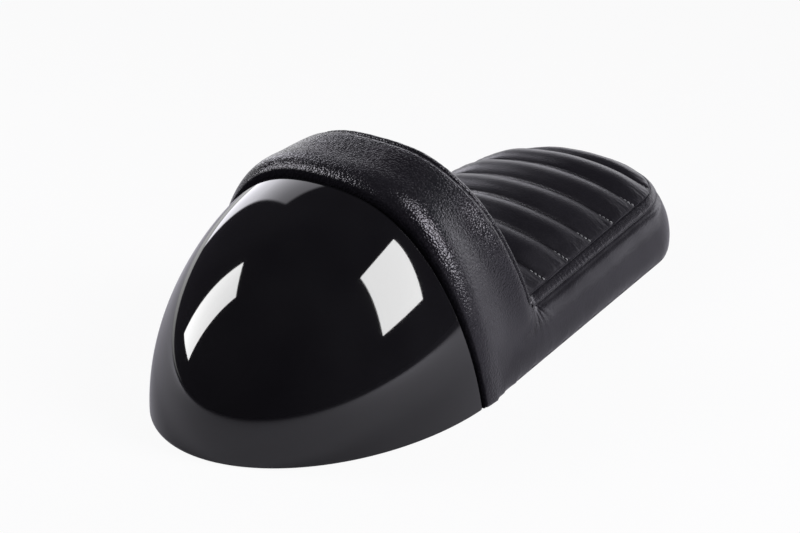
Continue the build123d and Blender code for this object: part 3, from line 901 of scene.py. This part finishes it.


# Threads of the rib seams: dark along the valleys, and where they come up at the ends a lighter copy of the
# same thread with its highlights painted in
deep_places, end_places = [], []
for valley in VALLEYS[1:-1]:
    half = float(seat_half(valley, SEAM_INSET))
    for way in (-1, 1):
        end_places += [valley_place(valley, way * (half - away), 0.7) for away in (2.8, 6.4, 10.0, 13.6)]
    deep_places += [valley_place(valley, y, 0.4) for y in np.arange(-half + 18, half - 17, 5.2)]
build_stitches("valley_thread", deep_places, 4.3, 0.55, thread_dark)
build_stitches("end_thread", end_places, 3.2, 0.7, thread_painted_glint)
build_stitches("hem_thread", hem_places, 2.7, 0.3, thread_dark)


# Padded front of the bum stop, crowned and drawn in at its sewn edge
def build_stop():
    turns = np.linspace(0, math.pi, 121)
    half = FRONT_WIDTH / 2 - STOP_MARGIN
    height = CREST_HEIGHT - STOP_MARGIN
    rim = np.column_stack([half * np.sign(np.cos(turns)) * np.abs(np.cos(turns)) ** (2 / FRONT_ROUND),
                           height * np.abs(np.sin(turns)) ** (2 / FRONT_RISE)])
    rim[:, 1] = np.maximum(rim[:, 1], SEAM_HEIGHT - 2)
    base = np.column_stack([np.linspace(rim[-1, 0], rim[0, 0], 60)[1:-1], np.full(58, SEAM_HEIGHT - 2)])
    rim = np.vstack([rim, base])
    center = np.array([0.0, 0.56 * height])
    rows = []
    shares = np.concatenate([np.linspace(0.02, 0.9, 40), [0.93, 0.955, 0.975, 0.99, 1.0]])
    forward = np.array([1, 0, FRONT_LEAN]) / math.hypot(1, FRONT_LEAN)
    for share in shares:
        ring = center + share * (rim - center)
        across = 1 - (ring[:, 0] / half) ** 2
        upward = 1 - ((ring[:, 1] - SEAM_HEIGHT) / (height - SEAM_HEIGHT)) ** 2
        crown = 3.6 * np.maximum(across * upward, 0) - 5.0 * (max(0.0, share - 0.9) / 0.1) ** 2
        spot = np.column_stack([FRONT_FOOT - FRONT_LEAN * ring[:, 1], ring[:, 0], ring[:, 1]])
        soft = 0.9 * noise_at(spot * 0.022, 1.0, 7.7) * (1 - share**4)
        rows.append(spot + forward * (crown + soft)[:, None])
    columns = len(rim)
    points = np.vstack(rows)
    faces = grid_faces(len(rows), columns, close_columns=True)
    faces.append(list(range(columns))[::-1])
    back = rows[-1] - forward * 4.0
    start = len(points)
    points = np.vstack([points, back])
    last = (len(rows) - 1) * columns
    for j in range(columns):
        k = (j + 1) % columns
        faces.append((last + j, last + k, start + k, start + j))
    faces.append([start + j for j in range(columns)])
    piece = make_piece("stop_pad", points, faces, panel_vinyl)
    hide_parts("bumstop_panel")


build_stop()


# Staples that hold the turned-under hem to the pan's rim
def staple_places():
    path = seat_path(STAPLE_INSET, 14.0, 200, 80)
    steps = lengths_along(path)
    places = []
    for s in np.arange(10.0, steps[-1] - 8, STAPLE_PITCH):
        x, y = [np.interp(s, steps, path[:, k]) for k in range(2)]
        ahead_x, ahead_y = [np.interp(s + 1, steps, path[:, k]) for k in range(2)]
        turned = np.array([ahead_x - x + 0.35 * (ahead_y - y), ahead_y - y - 0.35 * (ahead_x - x), 0])
        places.append((np.array([x, y, 0.5]), turned, np.array([0, 0, -1.0])))
    return places


build_stitches("hem_staples", staple_places(), 9.0, 0.42, zinc)

# Finishes of the carried-over solids
FINISHES = {
    pan_black: ("base_pan",),
    zinc: ("mount_studs", "stud_washers", "stud_nuts", "cowl_screws", "cowl_washers"),
    brass: ("cowl_inserts",),
    rubber: ("rear_right_buffer", "rear_left_buffer", "front_right_buffer", "front_left_buffer"),
}
for material, node_names in FINISHES.items():
    for node_name in node_names:
        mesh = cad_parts[node_name].data
        mesh.materials.clear()
        mesh.materials.append(material)


CAMERA_TURN, CAMERA_RISE, CAMERA_AWAY = math.radians(35.5), math.radians(24.1), 1.9277
FLOOR_SIZE, FLOOR_DROP, FLOOR_WHITE = 6.0, 0.0004, 0.93


# White floor that keeps a faint shadow and stays dark inside the cowl,
# looks bright in reflections behind the object and is clear from below
def build_floor():
    material, nodes, links, shader = new_material("floor")
    shader.inputs["Base Color"].default_value = (0.49, 0.48, 0.53, 1)
    shader.inputs["Roughness"].default_value = 0.9
    glow = add_node(nodes, "Emission", {"Color": (1, 1, 1, 1)})
    path = nodes.new("ShaderNodeLightPath")
    spot = nodes.new("ShaderNodeNewGeometry")

    # White for the camera, but not inside the cowl
    cowl_middle = ((JOINT_X - 0.19 * COWL_LENGTH) * MM, 0, 0)
    cowl_reach = (0.56 * COWL_LENGTH * MM, 0.457 * COWL_WIDTH * MM, 1)
    off = add_node(nodes, "VectorMath", {1: cowl_middle}, operation="SUBTRACT")
    part = add_node(nodes, "VectorMath", {1: cowl_reach}, operation="DIVIDE")
    away = add_node(nodes, "VectorMath", operation="LENGTH")
    open_floor = range_node(nodes, 0.85, 1.0, 0.0, FLOOR_WHITE)
    share = add_node(nodes, "Math", operation="MULTIPLY")
    links.new(spot.outputs["Position"], off.inputs[0])
    links.new(off.outputs["Vector"], part.inputs[0])
    links.new(part.outputs["Vector"], away.inputs[0])
    links.new(away.outputs["Value"], open_floor.inputs["Value"])
    links.new(path.outputs["Is Camera Ray"], share.inputs[0])
    links.new(open_floor.outputs["Result"], share.inputs[1])

    # White in reflections well behind the object
    backward = (math.cos(CAMERA_TURN), math.sin(CAMERA_TURN), 0)
    toward = add_node(nodes, "VectorMath", {1: backward}, operation="DOT_PRODUCT")
    beyond = range_node(nodes, 0.4, 0.9)
    mirrored = add_node(nodes, "Math", operation="MULTIPLY_ADD")
    links.new(spot.outputs["Position"], toward.inputs[0])
    links.new(toward.outputs["Value"], beyond.inputs["Value"])
    links.new(path.outputs["Is Glossy Ray"], mirrored.inputs[0])
    links.new(beyond.outputs["Result"], mirrored.inputs[1])
    links.new(share.outputs["Value"], mirrored.inputs[2])
    mix = nodes.new("ShaderNodeMixShader")
    links.new(mirrored.outputs["Value"], mix.inputs["Fac"])
    links.new(shader.outputs["BSDF"], mix.inputs[1])
    links.new(glow.outputs["Emission"], mix.inputs[2])

    # Clear from below
    clear = nodes.new("ShaderNodeBsdfTransparent")
    sided = nodes.new("ShaderNodeMixShader")
    links.new(spot.outputs["Backfacing"], sided.inputs["Fac"])
    links.new(mix.outputs["Shader"], sided.inputs[1])
    links.new(clear.outputs["BSDF"], sided.inputs[2])
    links.new(sided.outputs["Shader"], nodes["Material Output"].inputs["Surface"])
    mesh = bpy.data.meshes.new("floor")
    corners = [(x * FLOOR_SIZE, y * FLOOR_SIZE, 0) for x, y in ((-1, -1), (1, -1), (1, 1), (-1, 1))]
    mesh.from_pydata(corners, [], [(0, 1, 2, 3)])
    mesh.materials.append(material)
    floor = bpy.data.objects.new("floor", mesh)
    bpy.context.collection.objects.link(floor)
    floor.location.z = -FLOOR_DROP


build_floor()

# Camera at the photo's angle
CAMERA_TARGET = Vector(((69.5 + JOINT_X) * MM, 1.45 * MM, 56.4 * MM))
camera_data = bpy.data.cameras.new("camera")
camera_data.lens = 113.4
camera_data.sensor_width = 36.0
camera = bpy.data.objects.new("camera", camera_data)
bpy.context.collection.objects.link(camera)
level_way = math.cos(CAMERA_RISE)
offset = Vector((-level_way * math.cos(CAMERA_TURN), -level_way * math.sin(CAMERA_TURN),
                 math.sin(CAMERA_RISE)))
camera.location = CAMERA_TARGET + offset * CAMERA_AWAY
camera.rotation_euler = (-offset).to_track_quat("-Z", "Y").to_euler()
bpy.context.scene.camera = camera


# Softboxes left and right of the camera
def add_softbox(name, place, target, width, height, power):
    light = bpy.data.lights.new(name, "AREA")
    light.shape = "RECTANGLE"
    light.size = width
    light.size_y = height
    light.energy = power
    lamp = bpy.data.objects.new(name, light)
    bpy.context.collection.objects.link(lamp)
    lamp.location = place
    lamp.rotation_euler = (Vector(target) - Vector(place)).to_track_quat("-Z", "Y").to_euler()


add_softbox("right_box", (0.16, -1.16, 0.92), (-0.1, 0, 0.08), 0.62, 1.0, 28)
add_softbox("left_box", (-0.65, 1.15, 0.74), (-0.2, 0, 0.08), 0.46, 1.0, 18)

# White behind the object, dim overhead and behind the camera
WORLD_DIM = (0.04, 0.037, 0.046, 1)
world = bpy.data.worlds.new("studio")
bpy.context.scene.world = world
world.use_nodes = True
nodes, links = world.node_tree.nodes, world.node_tree.links
background = nodes["Background"]
place = nodes.new("ShaderNodeTexCoord")
rise = nodes.new("ShaderNodeSeparateXYZ")
links.new(place.outputs["Generated"], rise.inputs["Vector"])


# Bright panel of the surroundings between two compass turns, with its brightness by height
def add_panel(low, high, soft_low, soft_high, stops, strength, under):
    turn = add_node(nodes, "Math", operation="ARCTAN2")
    links.new(rise.outputs["Y"], turn.inputs[0])
    links.new(rise.outputs["X"], turn.inputs[1])
    share = ramp_node(nodes, [(place, (level,) * 3) for place, level in stops])
    links.new(rise.outputs["Z"], share.inputs["Fac"])
    for outer, inner in ((low - soft_low, low), (high + soft_high, high)):
        edge = range_node(nodes, math.radians(outer), math.radians(inner))
        links.new(turn.outputs["Value"], edge.inputs["Value"])
        both = add_node(nodes, "Math", operation="MULTIPLY")
        links.new(edge.outputs["Result"], both.inputs[0])
        links.new(share.outputs[0], both.inputs[1])
        share = both
    bright = (strength * 0.98, strength * 0.97, strength * 1.04, 1)
    panel = add_node(nodes, "Mix", {"A": WORLD_DIM, "B": bright}, data_type="RGBA")
    links.new(share.outputs["Value"], panel.inputs["Factor"])
    if under:
        links.new(under.outputs["Result"], panel.inputs["A"])
    return panel


wide = add_panel(-20, 36, 24, 8, [(0.06, 1.0), (0.22, 0.26), (0.42, 0.05), (0.6, 0.0)], 2.0, None)
fade = add_panel(49, 64, 2, 1.5, [(0.36, 1.0), (0.62, 0.42), (0.69, 0.32), (0.71, 0.0)], 3.4, wide)
path = nodes.new("ShaderNodeLightPath")
choose = add_node(nodes, "Mix", {"B": (1, 1, 1, 1)}, data_type="RGBA")
links.new(path.outputs["Is Camera Ray"], choose.inputs["Factor"])
links.new(fade.outputs["Result"], choose.inputs["A"])
links.new(choose.outputs["Result"], background.inputs["Color"])
background.inputs["Strength"].default_value = 1.0
bpy.context.scene.view_settings.view_transform = "Standard"
